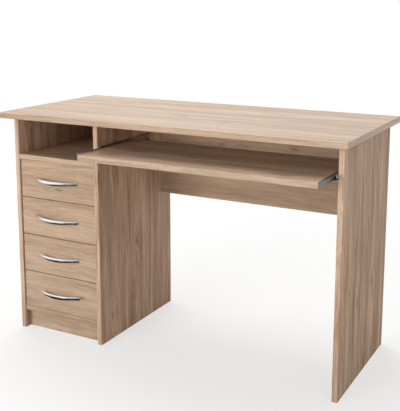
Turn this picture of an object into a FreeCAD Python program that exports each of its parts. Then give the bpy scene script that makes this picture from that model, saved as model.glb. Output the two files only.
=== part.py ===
"""Flat-pack computer desk: a drawer pedestal, and a keyboard tray on roller runners over the knee space.

Millimetres, +Z up, front towards -Y. The origin is on the floor, in the middle of the desk's width and of
its depth with the tray drawn out as it is modelled here.
"""
import FreeCAD
import Part
import Sketcher
import os

DRAWERS = 4

# Driving dimensions, each written once.
SIZES = {
    # Boards and edges
    "board": 16,
    "top_thickness": 19,
    "drawer_board": 12,
    "hardboard": 3,
    "top_edge_radius": 3,
    "edge_easing": 1.2,
    # Carcass
    "desk_width": 1116,
    "side_depth": 440,
    "side_height": 721,
    "overhang_side": 22,
    "overhang_front": 46,
    "overhang_back": 38,
    "bay_width": 296,
    "compartment_height": 122,
    "plinth_height": 61,
    "plinth_setback": 25,
    "modesty_height": 295,
    "modesty_inset": 47,
    "back_panel_margin": 2,
    # Drawers
    "front_gap": 2,
    "front_recess": 5,
    "box_rear_gap": 19,
    "box_headroom": 25.3,
    "groove_rise": 9,
    "groove_depth": 6,
    "groove_play": 0.2,
    # Handles
    "handle_length": 160,
    "handle_reach": 30,
    "handle_bar": 5,
    "handle_middle_height": 13,
    "handle_end_height": 10,
    "handle_tip": 4,
    "handle_foot": 22,
    "handle_bevel": 1.5,
    # Keyboard tray
    "keyboard_headroom": 76,
    "tray_depth": 320,
    "tray_pull": 120,
    # Roller runners
    "runner_space": 13,
    "runner_rise": 12,
    "tray_rail_inset": 10,
    "rail_steel": 1.2,
    "rail_start": 2,
    "track_width": 10.5,
    "guard_width": 8,
    "lip_width": 10,
    "flange_clearance": 1,
    "roller_radius": 8,
    "roller_width": 6.5,
    "roller_clearance": 0.3,
    "axle_inset": 12,
    "axle_radius": 2,
    "axle_play": 0.5,
}

# Places that follow from the driving dimensions.
LAYOUT = {
    "left_outer": "-Sizes.desk_width / 2",
    "left_inner": "left_outer + Sizes.board",
    "inner_left": "left_inner + Sizes.bay_width",
    "inner_right": "inner_left + Sizes.board",
    "right_inner": "Sizes.desk_width / 2 - Sizes.board",
    "bay_middle": "left_inner + Sizes.bay_width / 2",
    "knee_width": "right_inner - inner_right",
    "knee_middle": "inner_right + knee_width / 2",
    "front": "(Sizes.tray_pull - Sizes.side_depth - Sizes.overhang_back) / 2",
    "back": "front + Sizes.side_depth",
    "modesty_front": "back - Sizes.modesty_inset - Sizes.board",
    "modesty_low": "Sizes.side_height - Sizes.modesty_height",
    "drawer_face": "front + Sizes.front_recess",
    "box_front": "drawer_face + Sizes.board",
    "box_left": "left_inner + Sizes.runner_space",
    "box_width": "Sizes.bay_width - 2 * Sizes.runner_space",
    "box_length": "back - Sizes.box_rear_gap - box_front",
    "bottom_top": "Sizes.plinth_height + Sizes.board",
    "shelf_low": "Sizes.side_height - Sizes.compartment_height - Sizes.board",
    "drawer_pitch": f"(shelf_low - bottom_top) / {DRAWERS}",
    "box_height": "drawer_pitch - Sizes.runner_rise - Sizes.rail_steel - Sizes.box_headroom",
    "tray_low": "Sizes.side_height - Sizes.keyboard_headroom - Sizes.board",
    "tray_front": "front - Sizes.tray_pull",
    "tray_runner_length": "Sizes.tray_depth - 2 * Sizes.tray_rail_inset",
    "axle_height": "Sizes.rail_steel + Sizes.roller_clearance + Sizes.roller_radius",
    "flange_low": "axle_height + Sizes.roller_radius + Sizes.roller_clearance",
    "flange_top": "flange_low + Sizes.rail_steel",
    "channel_height": "flange_top + Sizes.flange_clearance + Sizes.rail_steel",
    "web_outer": "Sizes.runner_space - Sizes.rail_steel",
    "cabinet_roller_start": "Sizes.rail_steel + Sizes.axle_play",
    "moving_roller_start": "web_outer - Sizes.axle_play - Sizes.roller_width",
    "axle_length": "2 * Sizes.axle_play + Sizes.roller_width",
}

X = FreeCAD.Vector(1, 0, 0)
Z = FreeCAD.Vector(0, 0, 1)
TOUCH = 1e-4

doc = FreeCAD.newDocument("computer_desk")
corners = {}
pieces = []


def make_sheet(name, cells):
    """A sheet with one named cell a row."""
    sheet = doc.addObject("Spreadsheet::Sheet", name)
    for row, (alias, text) in enumerate(cells.items(), start=1):
        sheet.set(f"A{row}", alias)
        sheet.set(f"B{row}", str(text))
        sheet.setAlias(f"B{row}", alias)
    doc.recompute()
    return sheet


sizes = make_sheet("Sizes", SIZES)
make_sheet("Layout", {alias: f"={formula}" for alias, formula in LAYOUT.items()})


def value(expression):
    """What an expression comes to at present."""
    return float(sizes.evalExpression(expression))


def bind(thing, **expressions):
    """Ties an object's properties to the sheets."""
    for name, expression in expressions.items():
        thing.setExpression(name, expression)


def place(thing, point, rotation=None):
    """Puts an object at a point given as three expressions."""
    if rotation is not None:
        thing.Placement = FreeCAD.Placement(FreeCAD.Vector(), rotation)
    for axis, expression in zip("xyz", point):
        thing.setExpression(f"Placement.Base.{axis}", expression)


def between(point, start):
    """A point's place from another point, both as expressions."""
    return tuple(f"({there}) - ({here})" for there, here in zip(point, start))


def new_body(name):
    body = doc.addObject("PartDesign::Body", name)
    body.Label = name
    return body


def keep(piece, label):
    """Counts an object as a finished piece under its own label."""
    piece.Label = label
    pieces.append(piece)
    return piece


def group(label, members):
    """Several like solids kept as one piece."""
    compound = doc.addObject("Part::Compound", label)
    compound.Links = members
    return keep(compound, label)


def round_the_front(edge):
    return edge.BoundBox.YMax < TOUCH


def along_the_front(edge):
    return round_the_front(edge) and edge.BoundBox.ZLength < TOUCH


def along_the_foot(edge):
    return edge.BoundBox.ZMax < TOUCH and edge.BoundBox.YLength < TOUCH


def upright(edge):
    return edge.BoundBox.ZLength > TOUCH


def level(edge):
    return edge.BoundBox.ZLength < TOUCH


def board(label, corner, size, eased=None, radius="Sizes.edge_easing"):
    """A rectangular board from its low corner, with the edges that eased picks rounded over."""
    body = keep(new_body(label), label)
    corners[label] = corner
    place(body, corner)
    blank = body.newObject("PartDesign::AdditiveBox", f"{label}_blank")
    bind(blank, Length=size[0], Width=size[1], Height=size[2])
    if eased:
        doc.recompute()
        names = [f"Edge{i}" for i, edge in enumerate(blank.Shape.Edges, start=1) if eased(edge)]
        easing = body.newObject("PartDesign::Fillet", f"{label}_easing")
        easing.Base = (blank, names)
        bind(easing, Radius=radius)
    return body


def groove(body, corner, size):
    """A square groove cut into a board, from its low corner in the desk's frame."""
    cut = body.newObject("PartDesign::SubtractiveBox", f"{body.Label}_groove")
    bind(cut, Length=size[0], Width=size[1], Height=size[2])
    place(cut, between(corner, corners[body.Label]))


def outline(body, plane_role, points):
    """A closed sketch through points; one with a second pair starts an arc that passes through that pair."""
    sketch = body.newObject("Sketcher::SketchObject", f"{body.Label}_outline")
    plane = next(f for f in body.Origin.OriginFeatures if f.Role == plane_role)
    sketch.AttachmentSupport = [(plane, "")]
    sketch.MapMode = "FlatFace"

    def pin(geometry, position, pair):
        for kind, expression in zip(("DistanceX", "DistanceY"), pair):
            rule = Sketcher.Constraint(kind, -1, 1, geometry, position, value(expression))
            sketch.setExpression(f"Constraints[{sketch.addConstraint(rule)}]", expression)

    def spot(pair):
        return FreeCAD.Vector(value(pair[0]), value(pair[1]), 0)

    edges = []
    for i, point in enumerate(points):
        start, end = spot(point), spot(points[(i + 1) % len(points)])
        if len(point) == 2:
            edges.append((sketch.addGeometry(Part.LineSegment(start, end), False), 1, 2))
            continue
        via = spot(point[2:])
        if (via - start).cross(end - via).z > 0:
            edges.append((sketch.addGeometry(Part.Arc(start, via, end), False), 1, 2))
        else:
            edges.append((sketch.addGeometry(Part.Arc(end, via, start), False), 2, 1))
    for i, (geometry, start, end) in enumerate(edges):
        follower, follower_start, _ = edges[(i + 1) % len(edges)]
        sketch.addConstraint(Sketcher.Constraint("Coincident", geometry, end, follower, follower_start))
        pin(geometry, start, points[i][:2])
        if len(points[i]) > 2:
            via = sketch.addGeometry(Part.Point(spot(points[i][2:])), True)
            pin(via, 1, points[i][2:])
            sketch.addConstraint(Sketcher.Constraint("PointOnObject", via, 1, geometry))
    return sketch


def pad(body, sketch, length, midplane=False, reverse=False):
    """The sketch drawn out to a length."""
    feature = body.newObject("PartDesign::Pad", f"{body.Label}_pad")
    feature.Profile = sketch
    feature.Midplane = midplane
    feature.Reversed = reverse
    bind(feature, Length=length)


def mirrored(piece, middle):
    """The piece's mirror image across an upright plane at x = middle."""
    image = doc.addObject("Part::Mirroring", f"{piece.Label}_other_hand")
    image.Source = piece
    image.Normal = X
    bind(image, **{"Base.x": middle})
    return image


def make_carcass():
    """The boards that stand still."""
    side = ("Sizes.board", "Sizes.side_depth", "Sizes.side_height")
    board("left_side_panel", ("Layout.left_outer", "Layout.front", "0"), side, upright)
    board("inner_side_panel", ("Layout.inner_left", "Layout.front", "0"), side, upright)
    board("right_side_panel", ("Layout.right_inner", "Layout.front", "0"), side, upright)
    board(
        "top_panel",
        (
            "Layout.left_outer - Sizes.overhang_side",
            "Layout.front - Sizes.overhang_front",
            "Sizes.side_height",
        ),
        (
            "Sizes.desk_width + 2 * Sizes.overhang_side",
            "Sizes.side_depth + Sizes.overhang_front + Sizes.overhang_back",
            "Sizes.top_thickness",
        ),
        level,
        "Sizes.top_edge_radius",
    )
    board(
        "compartment_shelf",
        ("Layout.left_inner", "Layout.front", "Layout.shelf_low"),
        ("Sizes.bay_width", "Sizes.side_depth", "Sizes.board"),
        along_the_front,
    )
    board(
        "pedestal_bottom",
        ("Layout.left_inner", "Layout.drawer_face", "Sizes.plinth_height"),
        ("Sizes.bay_width", "Sizes.side_depth - Sizes.front_recess", "Sizes.board"),
        along_the_front,
    )
    board(
        "plinth",
        ("Layout.left_inner", "Layout.front + Sizes.plinth_setback", "0"),
        ("Sizes.bay_width", "Sizes.board", "Sizes.plinth_height"),
    )
    board(
        "modesty_panel",
        ("Layout.inner_right", "Layout.modesty_front", "Layout.modesty_low"),
        ("Layout.knee_width", "Sizes.board", "Sizes.modesty_height"),
        along_the_foot,
    )
    board(
        "pedestal_back",
        ("Layout.left_outer + Sizes.back_panel_margin", "Layout.back", "Sizes.plinth_height"),
        (
            "Layout.inner_right - Layout.left_outer - 2 * Sizes.back_panel_margin",
            "Sizes.hardboard",
            "Sizes.side_height - Sizes.plinth_height",
        ),
    )


def make_roller(name, point):
    """A nylon roller, turned about an axle along X."""
    roller = new_body(name)
    place(roller, point)
    bore, rim = "Sizes.axle_radius + Sizes.roller_clearance", "Sizes.roller_radius"
    profile = [("0", bore), ("Sizes.roller_width", bore), ("Sizes.roller_width", rim), ("0", rim)]
    turned = roller.newObject("PartDesign::Revolution", f"{name}_turning")
    turned.Profile = outline(roller, "XY_Plane", profile)
    turned.ReferenceAxis = (turned.Profile[0], ["H_Axis"])
    turned.Angle = 360
    return roller


def make_runners(name, face_x, middle, cabinet_y, moving_y, low_z, length):
    """Both hands of a roller runner: cabinet rails, moving rails, and the rollers that each pair carries."""
    steel = "Sizes.rail_steel"
    guard_low = f"Layout.channel_height - {steel}"
    cabinet_profile = [
        ("0", "0"),
        ("Sizes.track_width", "0"),
        ("Sizes.track_width", steel),
        (steel, steel),
        (steel, guard_low),
        ("Sizes.guard_width", guard_low),
        ("Sizes.guard_width", "Layout.channel_height"),
        ("0", "Layout.channel_height"),
    ]
    lip_end = "Sizes.runner_space + Sizes.lip_width"
    moving_profile = [
        (f"2 * {steel}", "Layout.flange_low"),
        ("Layout.web_outer", "Layout.flange_low"),
        ("Layout.web_outer", "0"),
        (lip_end, "0"),
        (lip_end, steel),
        ("Sizes.runner_space", steel),
        ("Sizes.runner_space", "Layout.flange_top"),
        (f"2 * {steel}", "Layout.flange_top"),
    ]

    def rail_pair(which, profile, y, axle, outward, end, roller_start):
        """A pair of rails with their axles, and the rollers at that end; axle is its root on the rail."""
        rail = new_body(f"{name}_{which}_rail")
        place(rail, (face_x, y, low_z))
        pad(rail, outline(rail, "XZ_Plane", profile), length, reverse=True)
        pin = rail.newObject("PartDesign::AdditiveCylinder", f"{name}_{which}_axle")
        bind(pin, Radius="Sizes.axle_radius", Height="Layout.axle_length")
        place(pin, axle, FreeCAD.Rotation(Z, outward))
        centre = (f"{face_x} + {roller_start}", f"{y} + {axle[1]}", f"{low_z} + {axle[2]}")
        roller = make_roller(f"{name}_{end}_roller", centre)
        group(f"{name}_{which}_rails", [rail, mirrored(rail, middle)])
        group(f"{name}_{end}_rollers", [roller, mirrored(roller, middle)])

    front_axle = (steel, "Sizes.axle_inset", "Layout.axle_height")
    rear_axle = ("Layout.web_outer", f"{length} - Sizes.axle_inset", "Layout.axle_height")
    rail_pair("cabinet", cabinet_profile, cabinet_y, front_axle, X, "front", "Layout.cabinet_roller_start")
    rail_pair("moving", moving_profile, moving_y, rear_axle, -X, "rear", "Layout.moving_roller_start")


def make_handle(label, point):
    """A bowed bar: a blunt crescent in plan, trimmed above and below to a slim lens, its long edges bevelled."""
    reach, half = "Sizes.handle_reach", "Sizes.handle_length / 2"
    foot = f"({half} - Sizes.handle_foot)"
    handle = keep(new_body(label), label)
    place(handle, point)
    crescent = [
        (f"-{half}", "-Sizes.handle_tip", "0", f"-{reach}"),
        (half, "-Sizes.handle_tip"),
        (half, "0"),
        (foot, "0", "0", f"Sizes.handle_bar - {reach}"),
        (f"-{foot}", "0"),
        (f"-{half}", "0"),
    ]
    pad(handle, outline(handle, "XY_Plane", crescent), "Sizes.handle_middle_height", midplane=True)
    for sign in ("", "-"):
        tall, low = f"{sign}Sizes.handle_middle_height / 2", f"{sign}Sizes.handle_end_height / 2"
        clear = f"2 * {tall}"
        waste = [(f"-{half}", low, "0", tall), (half, low), (half, clear), (f"-{half}", clear)]
        trim = handle.newObject("PartDesign::Pocket", f"{label}_trim")
        trim.Profile = outline(handle, "XZ_Plane", waste)
        trim.Midplane = True
        bind(trim, Length=f"4 * {reach}")
    doc.recompute()
    names = [f"Edge{i}" for i, edge in enumerate(trim.Shape.Edges, start=1) if edge.Length > value(half)]
    bevel = handle.newObject("PartDesign::Chamfer", f"{label}_bevel")
    bevel.Base = (trim, names)
    bind(bevel, Size="Sizes.handle_bevel")


def make_drawer(number):
    """One drawer: front with its handle, and a grooved box on roller runners. Drawer 1 is the top one."""
    name = f"drawer_{number}"
    low = f"Layout.bottom_top + {DRAWERS - number} * Layout.drawer_pitch"
    rail_low = f"{low} + Sizes.runner_rise"
    box_low = f"{rail_low} + Sizes.rail_steel"
    floor_low = f"{box_low} + Sizes.groove_rise"
    inside = "Layout.box_width - 2 * Sizes.drawer_board"
    front = board(
        f"{name}_front",
        ("Layout.left_inner + Sizes.front_gap", "Layout.drawer_face", f"{low} + Sizes.front_gap / 2"),
        ("Sizes.bay_width - 2 * Sizes.front_gap", "Sizes.board", "Layout.drawer_pitch - Sizes.front_gap"),
        round_the_front,
    )
    wall = ("Sizes.drawer_board", "Layout.box_length", "Layout.box_height")
    left = board(f"{name}_left_side", ("Layout.box_left", "Layout.box_front", box_low), wall)
    right_x = "Layout.box_left + Layout.box_width - Sizes.drawer_board"
    right = board(f"{name}_right_side", (right_x, "Layout.box_front", box_low), wall)
    floor_left = "Layout.box_left + Sizes.drawer_board - Sizes.groove_depth"
    slit = "Sizes.hardboard + Sizes.groove_play"
    side_groove = ("Sizes.groove_depth", "Layout.box_length", slit)
    groove(left, (floor_left, "Layout.box_front", floor_low), side_groove)
    groove(right, (right_x, "Layout.box_front", floor_low), side_groove)
    groove(
        front,
        (floor_left, "Layout.box_front - Sizes.groove_depth", floor_low),
        (f"{inside} + 2 * Sizes.groove_depth", "Sizes.groove_depth", slit),
    )
    floor_inset = "Sizes.groove_depth - Sizes.groove_play"
    board(
        f"{name}_bottom",
        (f"{floor_left} + Sizes.groove_play", f"Layout.box_front - ({floor_inset})", floor_low),
        (f"{inside} + 2 * ({floor_inset})", f"Layout.box_length + {floor_inset}", "Sizes.hardboard"),
    )
    board(
        f"{name}_back",
        (
            "Layout.box_left + Sizes.drawer_board",
            "Layout.box_front + Layout.box_length - Sizes.drawer_board",
            f"{floor_low} + Sizes.hardboard",
        ),
        (inside, "Sizes.drawer_board", "Layout.box_height - Sizes.groove_rise - Sizes.hardboard"),
    )
    mid_height = f"{low} + Layout.drawer_pitch / 2"
    make_handle(f"{name}_handle", ("Layout.bay_middle", "Layout.drawer_face", mid_height))
    make_runners(
        name,
        "Layout.left_inner",
        "Layout.bay_middle",
        "Layout.box_front + Sizes.rail_start",
        "Layout.box_front",
        rail_low,
        "Layout.box_length",
    )


def make_tray():
    """The keyboard tray between the inner and right sides, drawn out by tray_pull."""
    board(
        "tray_panel",
        ("Layout.inner_right + Sizes.runner_space", "Layout.tray_front", "Layout.tray_low"),
        ("Layout.knee_width - 2 * Sizes.runner_space", "Sizes.tray_depth", "Sizes.board"),
        round_the_front,
    )
    make_runners(
        "tray",
        "Layout.inner_right",
        "Layout.knee_middle",
        "Layout.front + Sizes.rail_start",
        "Layout.tray_front + Sizes.tray_rail_inset",
        "Layout.tray_low - Sizes.rail_steel",
        "Layout.tray_runner_length",
    )


def check_and_write():
    """Stops on anything that failed, then writes each piece to its own file."""
    doc.recompute()
    failed = [thing.Label for thing in doc.Objects if {"Invalid", "Error"} & set(thing.State)]
    failed += [piece.Label for piece in pieces if piece.Shape.isNull() or not piece.Shape.isValid()]
    if failed:
        raise RuntimeError(f"these did not build: {', '.join(failed)}")
    os.makedirs("parts", exist_ok=True)
    for piece in pieces:
        piece.Shape.exportStep(f"parts/{piece.Label}.step")
    solids = sum(len(piece.Shape.Solids) for piece in pieces)
    print(f"{len(pieces)} pieces, {solids} solids")


make_carcass()
for number in range(1, DRAWERS + 1):
    make_drawer(number)
make_tray()
check_and_write()
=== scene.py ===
"""Computer desk with a drawer pedestal and a pull-out tray, finished round its CAD frame.

Run as a script. The boards, runners and rollers are the frame's own and get their finishes here. The bow
handles are modelled again with a rounded bar, and covers, nails, screws and rivets are added to the pieces
that carry them.
"""
import math
from collections import namedtuple

import bpy
from bpy.props import FloatProperty, FloatVectorProperty, PointerProperty
from mathutils import Matrix, Vector


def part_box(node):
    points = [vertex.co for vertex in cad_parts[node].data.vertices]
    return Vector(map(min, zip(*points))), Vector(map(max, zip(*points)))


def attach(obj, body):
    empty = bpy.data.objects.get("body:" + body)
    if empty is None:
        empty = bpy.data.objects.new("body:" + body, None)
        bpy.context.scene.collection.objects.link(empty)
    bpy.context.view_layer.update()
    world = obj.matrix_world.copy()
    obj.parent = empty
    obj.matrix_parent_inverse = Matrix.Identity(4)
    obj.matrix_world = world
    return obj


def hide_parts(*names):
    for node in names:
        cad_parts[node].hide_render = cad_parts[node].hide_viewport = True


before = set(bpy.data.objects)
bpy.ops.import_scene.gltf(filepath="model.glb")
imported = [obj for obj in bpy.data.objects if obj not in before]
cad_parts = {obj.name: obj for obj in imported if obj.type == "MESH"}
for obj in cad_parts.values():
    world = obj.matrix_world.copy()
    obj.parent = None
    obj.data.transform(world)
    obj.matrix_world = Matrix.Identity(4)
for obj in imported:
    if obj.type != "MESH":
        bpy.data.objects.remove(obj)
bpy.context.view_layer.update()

bl_info = {
    "name": "Computer desk",
    "version": (1, 0, 0),
    "blender": (4, 5, 0),
    "location": "3D View > Sidebar > Desk",
    "description": "Finishes, handles and fastenings of a computer desk with a drawer pedestal",
    "category": "Object",
}

MM = 0.001
DRAWERS = ("drawer_1", "drawer_2", "drawer_3", "drawer_4")
ON_RUNNERS = (*DRAWERS, "tray")

# Which way the printed grain runs on each laminate board.
BOARD_GRAIN = {
    "top_panel": "x",
    "left_side_panel": "z",
    "inner_side_panel": "z",
    "right_side_panel": "z",
    "compartment_shelf": "x",
    "pedestal_bottom": "x",
    "plinth": "x",
    "modesty_panel": "x",
    **{f"{drawer}_front": "x" for drawer in DRAWERS},
    "tray_panel": "x",
}

# Turns that bring a direction to the x of the pattern. The y turn is for the edge band on a board's ends.
GRAIN_TURN = {
    "x": (0.0, 0.0, 0.0),
    "y": (0.0, 0.0, math.radians(-90)),
    "z": (0.0, math.radians(90), 0.0),
}
GRAIN_AXIS = {"x": (1.0, 0.0, 0.0), "z": (0.0, 0.0, 1.0)}
# Each board is cut from another part of the print: the step from one board's place in it to the next.
PRINT_STEP = Vector((1.37, 0.61, 0.29))
BACK_STEPS = 17

# Roughness of the smoothest and roughest streak, specular level, contrast of the print, and share of the
# usual streak length. The level boards are the glossier ones, and their sheen needs more contrast below it.
# The fronts have shorter, wavier streaks.
Press = namedtuple("Press", "smooth rough specular contrast stretch")
LEVEL_BOARDS = ("top_panel", "compartment_shelf", "pedestal_bottom", "tray_panel")
LEVEL_PRESS = Press(0.34, 0.5, 0.5, 1.3, 1.0)
FRONT_PRESS = Press(0.48, 0.66, 0.25, 0.9, 0.7)
UPRIGHT_PRESS = Press(0.48, 0.66, 0.25, 1.08, 1.0)

# Knots lie in cells that are this many times as long as wide. A cell has a knot if its lot, from 0 to 1, is
# above KNOT_LOT. The reaches of the swelling and of the dark heart are shares of a cell.
KNOT_ASPECT = 3
KNOT_LOT = 0.58
SWELL_REACH = 0.4
HEART_REACH = (0.01, 0.1)
HEART_DEPTH = 0.5
PUSHED_ASIDE = 11 * MM

# The streaks drift from side to side: the length and width of a bend, and how far it goes.
DRIFT_LENGTH, DRIFT_WIDTH, DRIFT = 550 * MM, 130 * MM, 30 * MM

# The sum of bands and streaks: its middle, and how far from it the print is darkest or palest.
TONE_MIDDLE, TONE_REACH = 0.99, 0.31

# A face counts as square to an axis from this cosine on, and as level from the next.
SQUARE = 0.7
LEVEL = 0.99
SAME_HEIGHT = 0.001 * MM

# Up to this angle the faces of a small fastening shade smoothly into each other.
FASTENING_SMOOTH = math.radians(35)

# Sockets of a Mix node: its factor, and the ends and result of its two kinds.
MIX_FACTOR = 0
VECTOR_A, VECTOR_B, VECTOR_MIXED = 4, 5, 1
COLOUR_A, COLOUR_B, COLOUR_MIXED = 6, 7, 2


def linear(code):
    """An sRGB hex colour as linear red, green and blue with a full alpha."""
    channels = [int(code[i : i + 2], 16) / 255 for i in (0, 2, 4)]
    return (*(c / 12.92 if c <= 0.04045 else ((c + 0.055) / 1.055) ** 2.4 for c in channels), 1.0)


def colour(name, code, description):
    """A colour that a user may change, from its hex value."""
    return FloatVectorProperty(
        name=name, description=description, default=linear(code), size=4, min=0.0, max=1.0, subtype="COLOR"
    )


def length(name, millimetres, description):
    """A length that a user may change, from millimetres."""
    return FloatProperty(
        name=name, description=description, default=millimetres * MM, min=0.0, precision=5, unit="LENGTH"
    )


def power(name, watts, description):
    """A lamp's power that a user may change."""
    return FloatProperty(name=name, description=description, default=watts, min=0.0, unit="POWER")


class DeskFinishes(bpy.types.PropertyGroup):
    """Colours of the boards and metals, and the sizes of the printed oak grain."""

    oak_light: colour("Oak, light", "D6BA9F", "Pale streaks of the printed oak")
    oak_dark: colour("Oak, dark", "A98B72", "Darker streaks of the printed oak")
    upright_light: colour("Upright, light", "EBCAAD", "Pale streaks of the uprights' livelier print")
    upright_dark: colour("Upright, dark", "9D785F", "Darker streaks of the uprights")
    oak_smoke: colour("Oak, smoked", "A8978A", "Greyer streaks here and there")
    oak_pore: colour("Oak, pores", "7F6650", "Fine dark dashes of the print")
    oak_knot: colour("Oak, knots", "6E5541", "Hearts of the printed knots")
    foil: colour("Drawer foil", "D8D1C6", "Foil on the boards of the drawer boxes")
    lacquer: colour("White lacquer", "E4E1DA", "Upper side of the drawer bottoms")
    fibre: colour("Bare hardboard", "8A6A4A", "Unfaced side of the hardboard")
    zinc: colour("Zinc plate", "BAB7B9", "Runner rails and fastenings")
    zinc_aslant: colour("Zinc plate, aslant", "A39FA1", "Runner rails and fastenings at a glancing view")
    nylon: colour("Nylon", "E9E8E2", "Rollers")
    chrome: colour("Satin chrome", "F5F5F7", "Drawer handles")
    cover: colour("Cover plastic", "BEA184", "Covers over the cam fastenings")
    grain_length: length("Grain length", 150.0, "Length of one fine streak")
    streak_width: length("Streak width", 5.0, "Width of one fine streak, wider than print so that it shows")
    band_width: length("Band width", 32.0, "Width of the broad pale and dark bands")
    knot_spacing: length("Knot spacing", 260.0, "Length of board to one possible knot")


class DeskFittings(bpy.types.PropertyGroup):
    """Sizes of the handles and of the small fastenings."""

    handle_bar: length("Handle bar", 5.0, "Thickness of the bow at its middle")
    handle_end: length("Handle end", 10.0, "Height of the bow at its ends")
    handle_tip: length("Handle tip", 4.0, "Thickness of the bow at its blunt ends")
    handle_foot: length("Handle foot", 22.0, "Length of each end that meets the drawer front")
    cover_width: length("Cover width", 17.0, "Diameter of a cover over a cam fastening")
    nail_width: length("Nail head", 4.6, "Diameter of a nail head in the pedestal back")
    handle_screw: length("Handle screw", 8.0, "Diameter of a handle screw's head")
    rail_screw: length("Runner screw", 6.4, "Diameter of a runner screw's head")
    rivet_width: length("Axle rivet", 6.0, "Diameter of the riveted end of a roller's axle")


class DeskStage(bpy.types.PropertyGroup):
    """Floor and light."""

    floor: colour("Floor", "FAFAF9", "Plain pale floor")
    key_power: power("Key light", 122.0, "Power of the soft light from above")
    front_power: power("Front light", 75.0, "Power of the soft light in front")
    side_power: power("Side light", 16.0, "Power of the soft light on the right")
    sky: FloatProperty(
        name="Sky", description="Strength of the even light from all round", default=0.48, min=0.0
    )


def add(tree, kind, sockets=None, **settings):
    """Adds a node with its settings, and sets or links its sockets."""
    node = tree.nodes.new(kind)
    for name, setting in settings.items():
        setattr(node, name, setting)
    for key, entry in (sockets or {}).items():
        if isinstance(entry, bpy.types.NodeSocket):
            tree.links.new(entry, node.inputs[key])
        else:
            node.inputs[key].default_value = entry
    return node


def new_material(name):
    """An empty material with its node tree."""
    material = bpy.data.materials.new(name)
    material.use_nodes = True
    material.node_tree.nodes.clear()
    return material, material.node_tree


def finish_material(tree, sockets):
    """Ends a material in one Principled shader."""
    shader = add(tree, "ShaderNodeBsdfPrincipled", sockets)
    add(tree, "ShaderNodeOutputMaterial", {"Surface": shader.outputs["BSDF"]})


def give(nodes, material):
    """Puts a material on all of the named CAD nodes."""
    for node in nodes:
        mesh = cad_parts[node].data
        mesh.materials.clear()
        mesh.materials.append(material)


def faces_along(tree, axis, either_way=False):
    """1 where the surface faces squarely along an axis, or either way along it, and 0 elsewhere."""
    place = add(tree, "ShaderNodeTexCoord")
    facing = add(
        tree, "ShaderNodeVectorMath", {0: place.outputs["Normal"], 1: axis}, operation="DOT_PRODUCT"
    ).outputs["Value"]
    if either_way:
        facing = add(tree, "ShaderNodeMath", {0: facing}, operation="ABSOLUTE").outputs[0]
    return add(tree, "ShaderNodeMath", {0: facing, 1: SQUARE}, operation="GREATER_THAN").outputs[0]


def varied(tree, base, pattern, darkest, palest):
    """A base colour that a pattern makes darker here and paler there."""
    share = add(tree, "ShaderNodeMapRange", {"Value": pattern, "To Min": darkest, "To Max": palest})
    tint = add(tree, "ShaderNodeVectorMath", {0: base[:3], "Scale": share.outputs[0]}, operation="SCALE")
    return tint.outputs["Vector"]


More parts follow.
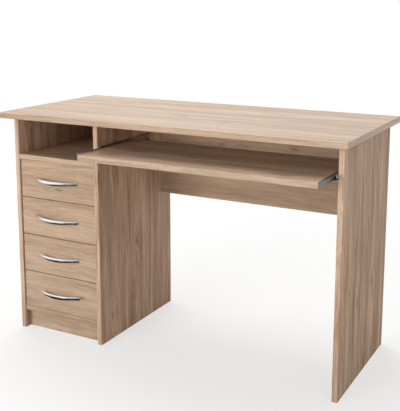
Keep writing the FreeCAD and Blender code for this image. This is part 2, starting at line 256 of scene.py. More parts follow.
def oak_print(tree, grain, offset, finishes, contrast, stretch):
    """The printed oak: its colour, a streak value for the gloss, and a height for the pressed pores."""
    place = add(tree, "ShaderNodeTexCoord")
    # Edge band on the board's ends runs across the board, from front to back.
    board, band = (
        add(
            tree,
            "ShaderNodeMapping",
            {"Vector": place.outputs["Object"], "Rotation": GRAIN_TURN[turn], "Location": offset},
        )
        for turn in (grain, "y")
    )
    spot = add(
        tree,
        "ShaderNodeMix",
        {
            MIX_FACTOR: faces_along(tree, GRAIN_AXIS[grain], either_way=True),
            VECTOR_A: board.outputs["Vector"],
            VECTOR_B: band.outputs["Vector"],
        },
        data_type="VECTOR",
    ).outputs[VECTOR_MIXED]

    # Knots sit in some cells of a pattern that lies flat on each face, and push the streaks round them.
    axes = add(tree, "ShaderNodeSeparateXYZ", {"Vector": spot})
    across = add(tree, "ShaderNodeMath", {0: axes.outputs["Y"], 1: axes.outputs["Z"]}, operation="ADD")
    flat = add(tree, "ShaderNodeCombineXYZ", {"X": axes.outputs["X"], "Y": across.outputs[0]})
    cell_scale = (1 / finishes.knot_spacing, KNOT_ASPECT / finishes.knot_spacing, 1.0)
    cells = add(
        tree, "ShaderNodeVectorMath", {0: flat.outputs["Vector"], 1: cell_scale}, operation="MULTIPLY"
    )
    knots = add(
        tree,
        "ShaderNodeTexVoronoi",
        {"Vector": cells.outputs["Vector"], "Scale": 1.0},
        voronoi_dimensions="2D",
    )
    lot = add(tree, "ShaderNodeSeparateColor", {"Color": knots.outputs["Color"]})
    chosen = add(
        tree, "ShaderNodeMath", {0: lot.outputs["Red"], 1: KNOT_LOT}, operation="GREATER_THAN"
    )
    rises = {}
    for name, (start, end), height in (
        ("swell", (0.0, SWELL_REACH), 1.0),
        ("heart", HEART_REACH, HEART_DEPTH),
    ):
        near = add(
            tree,
            "ShaderNodeMapRange",
            {
                "Value": knots.outputs["Distance"],
                "From Min": start,
                "From Max": end,
                "To Min": height,
                "To Max": 0.0,
            },
            interpolation_type="SMOOTHSTEP",
        )
        rise = add(
            tree, "ShaderNodeMath", {0: near.outputs[0], 1: chosen.outputs[0]}, operation="MULTIPLY"
        )
        rises[name] = rise.outputs[0]
    bulge = add(
        tree,
        "ShaderNodeVectorMath",
        {0: (0.0, PUSHED_ASIDE, PUSHED_ASIDE), "Scale": rises["swell"]},
        operation="SCALE",
    )

    # The streaks drift from side to side over about half a metre.
    drift_scale = (1 / (DRIFT_LENGTH * stretch), 1 / DRIFT_WIDTH, 1 / DRIFT_WIDTH)
    slow = add(tree, "ShaderNodeVectorMath", {0: spot, 1: drift_scale}, operation="MULTIPLY")
    wander = add(
        tree,
        "ShaderNodeTexNoise",
        {"Vector": slow.outputs["Vector"], "Scale": 1.0, "Detail": 3.0, "Roughness": 0.62},
    )
    drift = add(
        tree,
        "ShaderNodeVectorMath",
        {0: wander.outputs["Color"], 1: (0.0, DRIFT, DRIFT), 2: bulge.outputs["Vector"]},
        operation="MULTIPLY_ADD",
    )
    bent = add(tree, "ShaderNodeVectorMath", {0: spot, 1: drift.outputs["Vector"]}, operation="ADD")

    # Broad bands, fine and smoked streaks, and pores drawn about three times as wide as in print to show.
    patterns = {}
    for name, long, wide, detail in (
        ("bands", 5.0 * finishes.grain_length, finishes.band_width, 2.0),
        ("streaks", finishes.grain_length, finishes.streak_width, 4.0),
        ("smoke", 2.2 * finishes.grain_length, 2.4 * finishes.streak_width, 3.0),
        ("pores", 30 * MM, 1.2 * MM, 1.0),
    ):
        density = (1 / (long * stretch), 1 / wide, 1 / wide)
        scaled = add(
            tree, "ShaderNodeVectorMath", {0: bent.outputs["Vector"], 1: density}, operation="MULTIPLY"
        )
        noise = add(
            tree,
            "ShaderNodeTexNoise",
            {"Vector": scaled.outputs["Vector"], "Scale": 1.0, "Detail": detail, "Roughness": 0.6},
        )
        patterns[name] = noise.outputs["Fac"]

    both = add(tree, "ShaderNodeMath", {0: patterns["bands"], 1: patterns["streaks"]}, operation="ADD")
    reach = TONE_REACH / contrast
    tone = add(
        tree,
        "ShaderNodeMapRange",
        {"Value": both.outputs[0], "From Min": TONE_MIDDLE - reach, "From Max": TONE_MIDDLE + reach},
    )
    # Here and there a streak is greyer, as in smoked oak, or a dark pore is pressed in.
    smoke, pores = (
        add(
            tree,
            "ShaderNodeMapRange",
            {"Value": patterns[name], "From Min": start, "From Max": full, "To Max": most},
        ).outputs[0]
        for name, start, full, most in (("smoke", 0.5, 0.72, 0.4), ("pores", 0.6, 0.75, 0.45))
    )
    oak, light = finishes.oak_dark, finishes.oak_light
    if grain == "z":
        oak, light = finishes.upright_dark, finishes.upright_light
    for share, ink in (
        (tone.outputs[0], light),
        (smoke, finishes.oak_smoke),
        (pores, finishes.oak_pore),
        (rises["heart"], finishes.oak_knot),
    ):
        oak = add(
            tree, "ShaderNodeMix", {MIX_FACTOR: share, COLOUR_A: oak, COLOUR_B: ink}, data_type="RGBA"
        ).outputs[COLOUR_MIXED]
    pressed = add(tree, "ShaderNodeMath", {0: patterns["streaks"], 1: pores}, operation="SUBTRACT")
    return oak, patterns["streaks"], pressed.outputs[0]


def light_oak_melamine(name, grain, offset, finishes, press):
    """Melamine-faced chipboard: satin, with long pale streaks, soft bands and pores pressed in a little."""
    material, tree = new_material(name)
    oak, streaks, pressed = oak_print(tree, grain, offset, finishes, press.contrast, press.stretch)
    gloss = add(
        tree, "ShaderNodeMapRange", {"Value": streaks, "To Min": press.smooth, "To Max": press.rough}
    )
    bump = add(tree, "ShaderNodeBump", {"Height": pressed, "Strength": 0.35, "Distance": 0.15 * MM})
    finish_material(
        tree,
        {
            "Base Color": oak,
            "Roughness": gloss.outputs[0],
            "Specular IOR Level": press.specular,
            "Normal": bump.outputs["Normal"],
        },
    )
    return material


def oak_printed_hardboard(finishes):
    """Hardboard with oak paper in front and a bare brown back that shows the press screen's mesh."""
    material, tree = new_material("oak_printed_hardboard")
    oak, _, _ = oak_print(tree, "z", PRINT_STEP * BACK_STEPS, finishes, contrast=0.8, stretch=1.0)
    behind = faces_along(tree, (0.0, 1.0, 0.0))
    spot = add(tree, "ShaderNodeTexCoord").outputs["Object"]
    # The screen's wires are 1.5 mm apart, drawn at 4 mm so that they show.
    mesh = add(
        tree,
        "ShaderNodeTexVoronoi",
        {"Vector": spot, "Scale": 1 / (4 * MM), "Randomness": 0.25},
        distance="CHEBYCHEV",
    )
    fibres = add(tree, "ShaderNodeTexNoise", {"Vector": spot, "Scale": 1 / (60 * MM), "Detail": 6.0})
    brown = varied(tree, finishes.fibre, fibres.outputs["Fac"], 0.75, 1.25)
    faced = add(
        tree, "ShaderNodeMix", {MIX_FACTOR: behind, COLOUR_A: oak, COLOUR_B: brown}, data_type="RGBA"
    )
    dents = add(tree, "ShaderNodeMath", {0: mesh.outputs["Distance"], 1: behind}, operation="MULTIPLY")
    bump = add(tree, "ShaderNodeBump", {"Height": dents.outputs[0], "Strength": 0.5, "Distance": 0.4 * MM})
    rough = add(tree, "ShaderNodeMapRange", {"Value": behind, "To Min": 0.48, "To Max": 0.85})
    finish_material(
        tree,
        {
            "Base Color": faced.outputs[COLOUR_MIXED],
            "Roughness": rough.outputs[0],
            "Normal": bump.outputs["Normal"],
        },
    )
    return material


def foil_wrapped_chipboard(finishes):
    """Chipboard in plain pale foil: even, slightly cloudy, with a fine pressed linen."""
    material, tree = new_material("foil_wrapped_chipboard")
    spot = add(tree, "ShaderNodeTexCoord").outputs["Object"]
    clouds = add(tree, "ShaderNodeTexNoise", {"Vector": spot, "Scale": 1 / (45 * MM), "Detail": 3.0})
    # The linen's threads are about half a millimetre apart, drawn at 2 mm so that they show.
    linen = add(
        tree, "ShaderNodeTexNoise", {"Vector": spot, "Scale": 1 / (2 * MM), "Detail": 2.0}
    ).outputs["Fac"]
    bump = add(tree, "ShaderNodeBump", {"Height": linen, "Strength": 0.2, "Distance": 0.1 * MM})
    gloss = add(tree, "ShaderNodeMapRange", {"Value": linen, "To Min": 0.4, "To Max": 0.58})
    finish_material(
        tree,
        {
            "Base Color": varied(tree, finishes.foil, clouds.outputs["Fac"], 0.92, 1.06),
            "Roughness": gloss.outputs[0],
            "Normal": bump.outputs["Normal"],
        },
    )
    return material


def white_lacquered_hardboard(finishes):
    """Hardboard with a smooth white face above and its bare brown side below."""
    material, tree = new_material("white_lacquered_hardboard")
    below = faces_along(tree, (0.0, 0.0, -1.0))
    spot = add(tree, "ShaderNodeTexCoord").outputs["Object"]
    fibres = add(
        tree, "ShaderNodeTexNoise", {"Vector": spot, "Scale": 1 / (18 * MM), "Detail": 6.0}
    ).outputs["Fac"]
    brown = varied(tree, finishes.fibre, fibres, 0.8, 1.15)
    white = varied(tree, finishes.lacquer, fibres, 0.94, 1.03)
    faced = add(
        tree, "ShaderNodeMix", {MIX_FACTOR: below, COLOUR_A: white, COLOUR_B: brown}, data_type="RGBA"
    )
    rough = add(tree, "ShaderNodeMapRange", {"Value": below, "To Min": 0.32, "To Max": 0.85})
    bump = add(tree, "ShaderNodeBump", {"Height": fibres, "Strength": 0.12, "Distance": 0.2 * MM})
    finish_material(
        tree,
        {
            "Base Color": faced.outputs[COLOUR_MIXED],
            "Roughness": rough.outputs[0],
            "Normal": bump.outputs["Normal"],
        },
    )
    return material


def dull_zinc_plate(finishes):
    """Rolled steel strip with dull zinc: grey, duller aslant, faint rolling lines, cloudy passivation."""
    material, tree = new_material("dull_zinc_plate")
    spot = add(tree, "ShaderNodeTexCoord").outputs["Object"]
    # Rolling lines are finer than 0.2 mm, drawn 2 mm wide so that they show.
    rolled = add(
        tree,
        "ShaderNodeMapping",
        {"Vector": spot, "Scale": (1 / (2 * MM), 1 / (90 * MM), 1 / (2 * MM))},
    )
    lines = add(
        tree, "ShaderNodeTexNoise", {"Vector": rolled.outputs["Vector"], "Scale": 1.0, "Detail": 3.0}
    ).outputs["Fac"]
    clouds = add(tree, "ShaderNodeTexNoise", {"Vector": spot, "Scale": 1 / (25 * MM), "Detail": 4.0})
    rough = add(tree, "ShaderNodeMapRange", {"Value": lines, "To Min": 0.32, "To Max": 0.5})
    bump = add(tree, "ShaderNodeBump", {"Height": lines, "Strength": 0.15, "Distance": 0.1 * MM})
    finish_material(
        tree,
        {
            "Base Color": varied(tree, finishes.zinc, clouds.outputs["Fac"], 0.8, 1.12),
            "Specular Tint": finishes.zinc_aslant,
            "Metallic": 1.0,
            "Roughness": rough.outputs[0],
            "Normal": bump.outputs["Normal"],
        },
    )
    return material


def moulded_plastic(name, tint, shine):
    """Moulded plastic: an even colour with a fine spark-eroded skin and slightly uneven gloss."""
    material, tree = new_material(name)
    spot = add(tree, "ShaderNodeTexCoord").outputs["Object"]
    # The skin's pits are about 0.1 mm across, drawn at 0.8 mm so that they show close to.
    skin = add(
        tree, "ShaderNodeTexNoise", {"Vector": spot, "Scale": 1 / (0.8 * MM), "Detail": 2.0}
    ).outputs["Fac"]
    rough = add(tree, "ShaderNodeMapRange", {"Value": skin, "To Min": shine, "To Max": shine + 0.12})
    bump = add(tree, "ShaderNodeBump", {"Height": skin, "Strength": 0.15, "Distance": 0.05 * MM})
    finish_material(
        tree,
        {
            "Base Color": varied(tree, tint, skin, 0.95, 1.04),
            "Roughness": rough.outputs[0],
            "Normal": bump.outputs["Normal"],
        },
    )
    return material


def satin_chrome_plate(finishes):
    """Zinc casting with satin chrome: soft white highlights drawn out along the bow by fine brushing."""
    material, tree = new_material("satin_chrome_plate")
    spot = add(tree, "ShaderNodeTexCoord").outputs["Object"]
    # Brush lines are about 0.1 mm wide, drawn at 0.6 mm so that they show close to.
    brushed = add(
        tree,
        "ShaderNodeMapping",
        {"Vector": spot, "Scale": (1 / (30 * MM), 1 / (0.6 * MM), 1 / (0.6 * MM))},
    )
    lines = add(
        tree, "ShaderNodeTexNoise", {"Vector": brushed.outputs["Vector"], "Scale": 1.0, "Detail": 3.0}
    ).outputs["Fac"]
    rough = add(tree, "ShaderNodeMapRange", {"Value": lines, "To Min": 0.2, "To Max": 0.34})
    bump = add(tree, "ShaderNodeBump", {"Height": lines, "Strength": 0.03, "Distance": 0.05 * MM})
    finish_material(
        tree,
        {
            "Base Color": varied(tree, finishes.chrome, lines, 0.93, 1.05),
            "Metallic": 1.0,
            "Roughness": rough.outputs[0],
            "Normal": bump.outputs["Normal"],
        },
    )
    return material


def zinc(context):
    """The zinc plate that several operators use, made by the first that asks for it."""
    return bpy.data.materials.get("dull_zinc_plate") or dull_zinc_plate(context.scene.desk_finishes)


def clear_selection():
    """Leaves nothing selected."""
    bpy.ops.object.select_all(action="DESELECT")


def activate(piece):
    """Makes one object the only selected one, and the active one."""
    clear_selection()
    piece.select_set(True)
    bpy.context.view_layer.objects.active = piece


def start_cylinder(name, radius, depth, sides, centre=(0, 0, 0), rotation=(0, 0, 0)):
    """A cylinder to shape, with its place and turn applied."""
    clear_selection()
    bpy.ops.mesh.primitive_cylinder_add(
        vertices=sides, radius=radius, depth=depth, location=centre, rotation=rotation
    )
    piece = bpy.context.object
    piece.name = piece.data.name = name
    bpy.ops.object.transform_apply(location=True, rotation=True, scale=True)
    return piece


def pick(piece, kind, test):
    """Goes into edit mode with only those vertices, edges or faces selected that pass a test."""
    if bpy.context.mode != "OBJECT":
        bpy.ops.object.mode_set(mode="OBJECT")
    activate(piece)
    bpy.ops.object.mode_set(mode="EDIT")
    bpy.ops.mesh.select_mode(type=kind)
    bpy.ops.mesh.select_all(action="DESELECT")
    bpy.ops.object.mode_set(mode="OBJECT")
    mesh = piece.data
    parts = {"VERT": mesh.vertices, "EDGE": mesh.edges, "FACE": mesh.polygons}[kind]
    for part in parts:
        part.select = test(part)
    bpy.ops.object.mode_set(mode="EDIT")


def leave_edit(piece, angle):
    """Out of edit mode, normals outward and shading smooth up to an angle."""
    bpy.ops.mesh.select_all(action="SELECT")
    bpy.ops.mesh.normals_make_consistent(inside=False)
    bpy.ops.object.mode_set(mode="OBJECT")
    activate(piece)
    bpy.ops.object.shade_smooth_by_angle(angle=angle)


def edge_ends(piece, edge):
    """The places of an edge's two ends."""
    return [piece.data.vertices[i].co for i in edge.vertices]


def on_rim(piece, edge, height):
    """An edge of the round at this height."""
    return all(abs(end.z - height) < SAME_HEIGHT for end in edge_ends(piece, edge))


def button(name, width, height, sides, dish):
    """A low round head or cover that stands on z = 0: rim rounded, top dished or left flat."""
    rim, border = 0.45 * height, 0.12 * width
    piece = start_cylinder(name, width / 2, height, sides, (0, 0, height / 2))
    pick(piece, "EDGE", lambda edge: on_rim(piece, edge, height))
    bpy.ops.mesh.bevel(offset=rim, segments=3, affect="EDGES")
    pick(piece, "FACE", lambda face: face.normal.z > LEVEL)
    bpy.ops.mesh.inset(thickness=border, depth=-dish)
    leave_edit(piece, FASTENING_SMOOTH)
    return piece


def cross_recess(piece, width, height):
    """Cuts a cross slot for a screwdriver into a head that stands on z = 0."""
    arm, slot, depth = 0.62 * width, 0.14 * width, 0.55 * height
    for turn in (0, math.radians(90)):
        clear_selection()
        bpy.ops.mesh.primitive_cube_add(size=1, location=(0, 0, height), rotation=(0, 0, turn))
        cutter = bpy.context.object
        cutter.scale = (arm, slot, 2 * depth)
        bpy.ops.object.transform_apply(location=True, rotation=True, scale=True)
        activate(piece)
        cut = piece.modifiers.new("cross_slot", "BOOLEAN")
        cut.operation = "DIFFERENCE"
        cut.solver = "EXACT"
        cut.object = cutter
        bpy.ops.object.modifier_apply(modifier=cut.name)
        bpy.data.objects.remove(cutter)
    bpy.ops.object.shade_smooth_by_angle(angle=FASTENING_SMOOTH)
    return piece


def stand(point, outward):
    """The place of a copy whose foot is at a point and whose z points outward."""
    return Matrix.Translation(point) @ Vector(outward).to_track_quat("Z", "Y").to_matrix().to_4x4()


def copies(model, name, places):
    """Copies of a model, each with its own mesh, joined to one piece."""
    made = []
    for place in places:
        activate(model)
        bpy.ops.object.duplicate()
        copy = bpy.context.object
        copy.matrix_world = place
        bpy.ops.object.transform_apply(location=True, rotation=True, scale=True)
        made.append(copy)
    clear_selection()
    for copy in made:
        copy.select_set(True)
    bpy.context.view_layer.objects.active = made[0]
    if len(made) > 1:
        bpy.ops.object.join()
    piece = bpy.context.object
    piece.name = piece.data.name = name
    return piece


def dress(piece, material, body):
    """Gives a finished piece its material and its body."""
    piece.data.materials.clear()
    piece.data.materials.append(material)
    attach(piece, body)


class DESK_OT_boards(bpy.types.Operator):
    """Light oak melamine on every board of the carcass, the drawer fronts and the tray"""

    bl_idname = "desk.boards"
    bl_label = "Laminate boards"

    def execute(self, context):
        finishes = context.scene.desk_finishes
        for i, (board, grain) in enumerate(BOARD_GRAIN.items()):
            name = f"light_oak_melamine_{board}"
            press = UPRIGHT_PRESS if grain == "z" else FRONT_PRESS
            if board in LEVEL_BOARDS:
                press = LEVEL_PRESS
            give([board], light_oak_melamine(name, grain, PRINT_STEP * i, finishes, press))
        return {"FINISHED"}


class DESK_OT_pedestal_back(bpy.types.Operator):
    """Printed hardboard on the back of the pedestal"""

    bl_idname = "desk.pedestal_back"
    bl_label = "Pedestal back"

    def execute(self, context):
        give(["pedestal_back"], oak_printed_hardboard(context.scene.desk_finishes))
        return {"FINISHED"}


class DESK_OT_drawer_boxes(bpy.types.Operator):
    """Foil on the walls of the drawer boxes and white lacquer on their bottoms"""

    bl_idname = "desk.drawer_boxes"
    bl_label = "Drawer boxes"

    def execute(self, context):
        finishes = context.scene.desk_finishes
        walls = [f"{drawer}_{wall}" for drawer in DRAWERS for wall in ("left_side", "right_side", "back")]
        give(walls, foil_wrapped_chipboard(finishes))
        give([f"{drawer}_bottom" for drawer in DRAWERS], white_lacquered_hardboard(finishes))
        return {"FINISHED"}


class DESK_OT_runners(bpy.types.Operator):
    """Zinc plate on the runner rails and nylon on their rollers"""

    bl_idname = "desk.runners"
    bl_label = "Roller runners"

    def execute(self, context):
        rails = [f"{name}_{rail}_rails" for name in ON_RUNNERS for rail in ("cabinet", "moving")]
        rollers = [f"{name}_{end}_rollers" for name in ON_RUNNERS for end in ("front", "rear")]
        give(rails, zinc(context))
        give(rollers, moulded_plastic("moulded_nylon", context.scene.desk_finishes.nylon, shine=0.38))
        return {"FINISHED"}


class DESK_OT_handles(bpy.types.Operator):
    """Bow handles with a rounded bar and blunt ends, in satin chrome"""

    bl_idname = "desk.handles"
    bl_label = "Bow handles"

    SIDES = 24
    RINGS = 40
    SUNK = 0.8 * MM
    SMOOTH = math.radians(50)

    def execute(self, context):
        low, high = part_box("drawer_1_handle")
        half, reach, height = (high.x - low.x) / 2, high.y - low.y, high.z - low.z
        bow = start_cylinder(
            "bow", height / 2, 2 * half, self.SIDES, rotation=(0, math.radians(90), 0)
        )
        self.divide(bow, half)
        self.shape(bow, half, reach, height, context.scene.desk_fittings)
        chrome = satin_chrome_plate(context.scene.desk_finishes)
        for drawer in DRAWERS:
            low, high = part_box(f"{drawer}_handle")
            root = Vector(((low.x + high.x) / 2, high.y, (low.z + high.z) / 2))
            handle = copies(bow, f"{drawer}_bow_handle", [Matrix.Translation(root)])
            dress(handle, chrome, drawer)
            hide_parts(f"{drawer}_handle")
        bpy.data.objects.remove(bow)
        return {"FINISHED"}

    def divide(self, bow, half):
        """Cuts the long edges so that the bar has a ring every few millimetres."""

        def runs_along(edge):
            start, end = edge_ends(bow, edge)
            return abs(start.x - end.x) > half

        pick(bow, "EDGE", runs_along)
        bpy.ops.mesh.subdivide(number_cuts=self.RINGS - 1)
        bpy.ops.object.mode_set(mode="OBJECT")

    def shape(self, bow, half, reach, height, fittings):
        """Moves and scales each ring so that the bar bows out between its two feet."""
        inner_half, inner_reach = half - fittings.handle_foot, reach - fittings.handle_bar
        tip = fittings.handle_tip
        for i in range(self.RINGS + 1):
            x = half * (2 * i / self.RINGS - 1)
            front = self.bow_out(x, half, reach - tip) - tip
            rear = self.bow_out(x, inner_half, inner_reach) if abs(x) < inner_half else self.SUNK
            tall = fittings.handle_end + (height - fittings.handle_end) * (1 - (x / half) ** 2)
            pick(bow, "VERT", lambda vertex: abs(vertex.co.x - x) < half / self.RINGS / 2)
            bpy.ops.transform.resize(
                value=(1, (rear - front) / height, tall / height), center_override=(x, 0, 0)
            )
            bpy.ops.transform.translate(value=(0, (front + rear) / 2, 0))
        leave_edit(bow, self.SMOOTH)

    @staticmethod
    def bow_out(x, half, reach):
        """How far in front of the drawer (as a y) a round bow of this half length and reach is at x."""
        radius = (half**2 + reach**2) / (2 * reach)
        return radius - reach - math.sqrt(radius**2 - x**2)


class DESK_OT_cam_covers(bpy.types.Operator):
    """Round plastic covers over the cam fastenings that hold the boards together"""

    bl_idname = "desk.cam_covers"
    bl_label = "Cam covers"

    EDGE = 34 * MM
    FROM_END = 60 * MM

    def execute(self, context):
        width = context.scene.desk_fittings.cover_width
        model = button("cam_cover", width, height=1.2 * MM, sides=32, dish=0.3 * MM)
        places = []
        # Inside of each upright, under the top.
        for panel, outward in (("left_side_panel", 1), ("inner_side_panel", 1), ("right_side_panel", -1)):
            low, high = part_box(panel)
            face = high.x if outward > 0 else low.x
            for y in (low.y + self.FROM_END, high.y - self.FROM_END):
                places.append(stand((face, y, high.z - self.EDGE), (outward, 0, 0)))
        # Underside of the shelf and of the pedestal's bottom, near each upright.
        for panel in ("compartment_shelf", "pedestal_bottom"):
            low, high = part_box(panel)
            for x in (low.x + self.EDGE, high.x - self.EDGE):
                for y in (low.y + self.FROM_END, high.y - self.FROM_END):
                    places.append(stand((x, y, low.z), (0, 0, -1)))
        # Rear of the modesty panel.
        low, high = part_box("modesty_panel")
        for x in (low.x + self.EDGE, high.x - self.EDGE):
            for z in (low.z + self.FROM_END, high.z - self.FROM_END):
                places.append(stand((x, high.y, z), (0, 1, 0)))
        covers = copies(model, "cam_covers", places)
        bpy.data.objects.remove(model)
        tint = context.scene.desk_finishes.cover
        plastic = moulded_plastic("oak_coloured_polypropylene", tint, shine=0.42)
        dress(covers, plastic, "carcass")
        return {"FINISHED"}


class DESK_OT_back_nails(bpy.types.Operator):
    """Nails round the edge of the pedestal's hardboard back and into its shelf and bottom"""

    bl_idname = "desk.back_nails"
    bl_label = "Back nails"

    ROWS = 6
    EDGE = 6 * MM
    FROM_END = 20 * MM
    ALONG_SHELF = (0.25, 0.5, 0.75)

    def execute(self, context):
        width = context.scene.desk_fittings.nail_width
        model = button("back_nail", width, height=0.7 * MM, sides=16, dish=0.1 * MM)
        low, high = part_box("pedestal_back")
        pitch = (high.z - low.z - 2 * self.FROM_END) / (self.ROWS - 1)
        spots = []
        for x in (low.x + self.EDGE, high.x - self.EDGE):
            for i in range(self.ROWS):
                spots.append((x, low.z + self.FROM_END + i * pitch))
        for panel in ("compartment_shelf", "pedestal_bottom"):
            panel_low, panel_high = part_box(panel)
            for share in self.ALONG_SHELF:
                x = panel_low.x + share * (panel_high.x - panel_low.x)
                spots.append((x, (panel_low.z + panel_high.z) / 2))
        nails = copies(model, "back_nails", [stand((x, high.y, z), (0, 1, 0)) for x, z in spots])
        bpy.data.objects.remove(model)
        dress(nails, zinc(context), "carcass")
        return {"FINISHED"}


class DESK_OT_handle_screws(bpy.types.Operator):
    """Two cross-head screws inside each drawer front, behind the feet of its handle"""

    bl_idname = "desk.handle_screws"
    bl_label = "Handle screws"

    HEIGHT = 2.2 * MM
    ALONG_FOOT = 0.7

    def execute(self, context):
        fittings = context.scene.desk_fittings
        width = fittings.handle_screw
        head = button("handle_screw", width, self.HEIGHT, sides=24, dish=0.0)
        model = cross_recess(head, width, self.HEIGHT)
        from_end = fittings.handle_foot * self.ALONG_FOOT
        for drawer in DRAWERS:
            low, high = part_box(f"{drawer}_handle")
            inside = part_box(f"{drawer}_front")[1].y
            z = (low.z + high.z) / 2
            places = [stand((x, inside, z), (0, 1, 0)) for x in (low.x + from_end, high.x - from_end)]
            screws = copies(model, f"{drawer}_handle_screws", places)
            dress(screws, zinc(context), drawer)
        bpy.data.objects.remove(model)
        return {"FINISHED"}


class DESK_OT_runner_fastenings(bpy.types.Operator):
    """Flat cross-head screws that hold the rails, and the riveted ends of the rollers' axles"""

    bl_idname = "desk.runner_fastenings"
    bl_label = "Runner fastenings"

    SCREW_HEIGHT = 0.9 * MM
    # Thickness of the rails, width of the moving rails' lips and of the rollers.
    STEEL = 1.2 * MM
    LIP = 18 * MM
    ROLLER = 6.5 * MM
    # Screws along a rail: from its front, as a share of its length, and from its rear.
    ALONG = (37 * MM, 0.5, -60 * MM)
    AXLE_GAP = 0.5 * MM

    def execute(self, context):
        fittings = context.scene.desk_fittings
        width = fittings.rail_screw
        head = button("rail_screw", width, self.SCREW_HEIGHT, sides=20, dish=0.0)
        screw = cross_recess(head, width, self.SCREW_HEIGHT)
        rivet = button("axle_rivet", fittings.rivet_width, height=0.8 * MM, sides=20, dish=0.1 * MM)
        steel = zinc(context)
        for name in ON_RUNNERS:
            for body, rail, end, places in (
                ("carcass", "cabinet", "front", self.on_webs(name)),
                (name, "moving", "rear", self.under_lips(name)),
            ):
                screws = copies(screw, f"{name}_{rail}_rail_screws", places)
                dress(screws, steel, body)
                rivets = copies(rivet, f"{name}_{end}_axle_rivets", self.on_axles(name, end))
                dress(rivets, steel, body)
        bpy.data.objects.remove(screw)
        bpy.data.objects.remove(rivet)
        return {"FINISHED"}

    def stations(self, low, high):
        """Where along a rail its screws sit."""
        start, share, end = self.ALONG
        return low.y + start, low.y + share * (high.y - low.y), high.y + end

    def on_webs(self, name):
        """Screws through the upright webs of the cabinet rails, inside the channel."""
        low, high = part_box(f"{name}_cabinet_rails")
        roller_low, roller_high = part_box(f"{name}_front_rollers")
        z = (roller_low.z + roller_high.z) / 2
        places = []
        for x, outward in ((low.x + self.STEEL, 1), (high.x - self.STEEL, -1)):
            places += [stand((x, y, z), (outward, 0, 0)) for y in self.stations(low, high)]
        return places

    def under_lips(self, name):
        """Screws up through the lips of the moving rails."""
        low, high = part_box(f"{name}_moving_rails")
        reach = self.LIP - 2 * self.STEEL
        return [
            stand((x, y, low.z), (0, 0, -1))
            for x in (low.x + reach, high.x - reach)
            for y in self.stations(low, high)
        ]

    def on_axles(self, name, end):
        """Riveted ends, just clear of the rollers' faces."""
        low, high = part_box(f"{name}_{end}_rollers")
        y, z = (low.y + high.y) / 2, (low.z + high.z) / 2
        wide = self.ROLLER + self.AXLE_GAP
        if end == "front":
            sides = ((low.x + wide, 1), (high.x - wide, -1))
        else:
            sides = ((low.x - self.AXLE_GAP, -1), (high.x + self.AXLE_GAP, 1))
        return [stand((x, y, z), (outward, 0, 0)) for x, outward in sides]


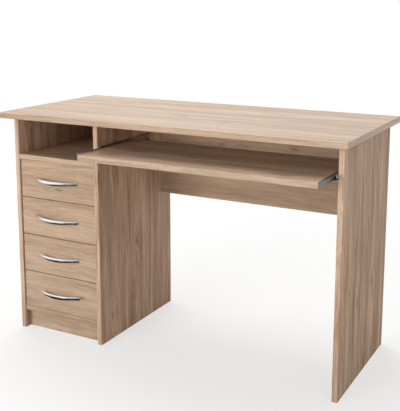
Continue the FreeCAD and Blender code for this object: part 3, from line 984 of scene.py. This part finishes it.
class DESK_OT_stage(bpy.types.Operator):
    """Plain pale floor, soft light from above, the left front and the right, and the camera"""

    bl_idname = "desk.stage"
    bl_label = "Stage"

    CAMERA = Vector((1.1988, -2.1639, 1.1048))
    TARGET = Vector((0.129, -0.179, 0.702))
    LENS = 70.27
    SHIFT = -0.1594
    WHITE = linear("FFFFFF")
    # Colour of the floor for the light that it throws back at the desk.
    BOUNCE = linear("CBCBCB")
    CARD = linear("222122")
    FLOOR_SIZE = 60
    # The floor starts to fade at the first distance, and is plain white from the second on.
    FADE = (0.7, 2.2)
    NEAR_GLOW = 0.6
    # Place and size of each soft light, and the point that they are turned to.
    LAMPS = {
        "key": ((-1.3, 1.3, 4.4), 3.0),
        "front": ((-1.4, -3.8, 1.2), 1.8),
        "side": ((2.9, -2.5, 0.9), 1.8),
    }
    MIDDLE = Vector((0.0, 0.0, 0.45))
    # Size, place and tilt of each dark card.
    CARDS = {
        "floor_card": (4.0, (0.7, -0.1, 0.5 * MM), 0),
        "screen_card": (3.4, (1.2, -3.1, 1.7), math.radians(90)),
    }

    def execute(self, context):
        stage = context.scene.desk_stage
        context.scene.view_settings.view_transform = "Standard"
        self.floor(stage)
        self.cards()
        self.sky(context, stage)
        for name, (place, size) in self.LAMPS.items():
            self.lamp(name, place, size, getattr(stage, f"{name}_power"))
        self.camera(context)
        return {"FINISHED"}

    @staticmethod
    def seen(tree):
        """1 for a ray from the camera, off metal or through glass, and 0 for light that falls on things."""
        path = add(tree, "ShaderNodeLightPath")
        seen = path.outputs["Is Camera Ray"]
        for kind in ("Is Glossy Ray", "Is Transmission Ray"):
            either = add(tree, "ShaderNodeMath", {0: seen, 1: path.outputs[kind]}, operation="MAXIMUM")
            seen = either.outputs[0]
        return seen

    def floor(self, stage):
        """A wide flat floor with the faintest tooth, fading to plain white away from the desk."""
        clear_selection()
        bpy.ops.mesh.primitive_plane_add(size=self.FLOOR_SIZE, location=(0, 0, 0))
        floor = bpy.context.object
        floor.name = floor.data.name = "floor"
        material, tree = new_material("matt_white_paint")
        spot = add(tree, "ShaderNodeTexCoord").outputs["Object"]
        tooth = add(tree, "ShaderNodeTexNoise", {"Vector": spot, "Scale": 1 / (3 * MM)})
        bump = add(tree, "ShaderNodeBump", {"Height": tooth.outputs["Fac"], "Strength": 0.02})
        paint = add(
            tree, "ShaderNodeBsdfDiffuse", {"Color": stage.floor, "Normal": bump.outputs["Normal"]}
        )
        bounce = add(tree, "ShaderNodeBsdfDiffuse", {"Color": self.BOUNCE})
        glow = add(tree, "ShaderNodeEmission", {"Color": self.WHITE, "Strength": 1.0})
        away = add(tree, "ShaderNodeVectorMath", {0: spot}, operation="LENGTH")
        start, end = self.FADE
        far = add(
            tree,
            "ShaderNodeMapRange",
            {
                "Value": away.outputs["Value"],
                "From Min": start,
                "From Max": end,
                "To Min": self.NEAR_GLOW,
            },
            interpolation_type="SMOOTHSTEP",
        )
        faded = add(
            tree,
            "ShaderNodeMixShader",
            {0: far.outputs[0], 1: paint.outputs["BSDF"], 2: glow.outputs["Emission"]},
        )
        shown = add(
            tree,
            "ShaderNodeMixShader",
            {0: self.seen(tree), 1: bounce.outputs["BSDF"], 2: faded.outputs["Shader"]},
        )
        add(tree, "ShaderNodeOutputMaterial", {"Surface": shown.outputs["Shader"]})
        floor.data.materials.append(material)

    def cards(self):
        """Dark cards on the floor and behind the camera, which only reflections show.

        They give the metal its dark sides.
        """
        material, tree = new_material("dark_grey_card")
        paper = add(tree, "ShaderNodeBsdfDiffuse", {"Color": self.CARD})
        add(tree, "ShaderNodeOutputMaterial", {"Surface": paper.outputs["BSDF"]})
        for name, (size, place, tilt) in self.CARDS.items():
            clear_selection()
            bpy.ops.mesh.primitive_plane_add(size=size, location=place, rotation=(tilt, 0, 0))
            card = bpy.context.object
            card.name = card.data.name = name
            card.visible_camera = card.visible_diffuse = False
            card.visible_shadow = card.visible_transmission = False
            card.data.materials.append(material)

    def sky(self, context, stage):
        """Even white light; the camera and mirrors see plain white."""
        world = bpy.data.worlds.new("studio")
        context.scene.world = world
        world.use_nodes = True
        tree = world.node_tree
        tree.nodes.clear()
        strength = add(
            tree, "ShaderNodeMapRange", {"Value": self.seen(tree), "To Min": stage.sky, "To Max": 1.0}
        )
        light = add(
            tree, "ShaderNodeBackground", {"Strength": strength.outputs[0], "Color": self.WHITE}
        )
        add(tree, "ShaderNodeOutputWorld", {"Surface": light.outputs["Background"]})

    def lamp(self, name, place, size, watts):
        """A square soft light turned to the desk. Only the key light shows in reflections."""
        bpy.ops.object.light_add(type="AREA", location=place)
        lamp = bpy.context.object
        lamp.name = lamp.data.name = f"{name}_light"
        lamp.data.size = size
        lamp.data.energy = watts
        lamp.visible_glossy = name == "key"
        lamp.rotation_euler = (self.MIDDLE - lamp.location).to_track_quat("-Z", "Y").to_euler()

    def camera(self, context):
        """A short telephoto view from the right of the front, a little above the top."""
        bpy.ops.object.camera_add(location=self.CAMERA)
        camera = bpy.context.object
        camera.name = camera.data.name = "camera"
        camera.rotation_euler = (self.TARGET - self.CAMERA).to_track_quat("-Z", "Y").to_euler()
        camera.data.lens = self.LENS
        camera.data.shift_y = self.SHIFT
        context.scene.camera = camera


OPERATORS = (
    DESK_OT_boards,
    DESK_OT_pedestal_back,
    DESK_OT_drawer_boxes,
    DESK_OT_runners,
    DESK_OT_handles,
    DESK_OT_cam_covers,
    DESK_OT_back_nails,
    DESK_OT_handle_screws,
    DESK_OT_runner_fastenings,
    DESK_OT_stage,
)


class DESK_PT_panel(bpy.types.Panel):
    """The desk's values and the steps that build it"""

    bl_idname = "DESK_PT_panel"
    bl_label = "Computer desk"
    bl_space_type = "VIEW_3D"
    bl_region_type = "UI"
    bl_category = "Desk"

    def draw(self, context):
        scene = context.scene
        for operator in OPERATORS:
            self.layout.operator(operator.bl_idname)
        for values in (scene.desk_finishes, scene.desk_fittings, scene.desk_stage):
            box = self.layout.box()
            for name in values.bl_rna.properties.keys():
                if name not in ("rna_type", "name"):
                    box.prop(values, name)


GROUPS = {"desk_finishes": DeskFinishes, "desk_fittings": DeskFittings, "desk_stage": DeskStage}


def register():
    for kind in (*GROUPS.values(), *OPERATORS, DESK_PT_panel):
        bpy.utils.register_class(kind)
    for name, kind in GROUPS.items():
        setattr(bpy.types.Scene, name, PointerProperty(type=kind))


def unregister():
    for name in GROUPS:
        delattr(bpy.types.Scene, name)
    for kind in reversed((*GROUPS.values(), *OPERATORS, DESK_PT_panel)):
        bpy.utils.unregister_class(kind)


def main():
    """Registers the classes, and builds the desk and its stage."""
    register()
    bpy.ops.desk.boards()
    bpy.ops.desk.pedestal_back()
    bpy.ops.desk.drawer_boxes()
    bpy.ops.desk.runners()
    bpy.ops.desk.handles()
    bpy.ops.desk.cam_covers()
    bpy.ops.desk.back_nails()
    bpy.ops.desk.handle_screws()
    bpy.ops.desk.runner_fastenings()
    bpy.ops.desk.stage()


if __name__ == "__main__":
    main()
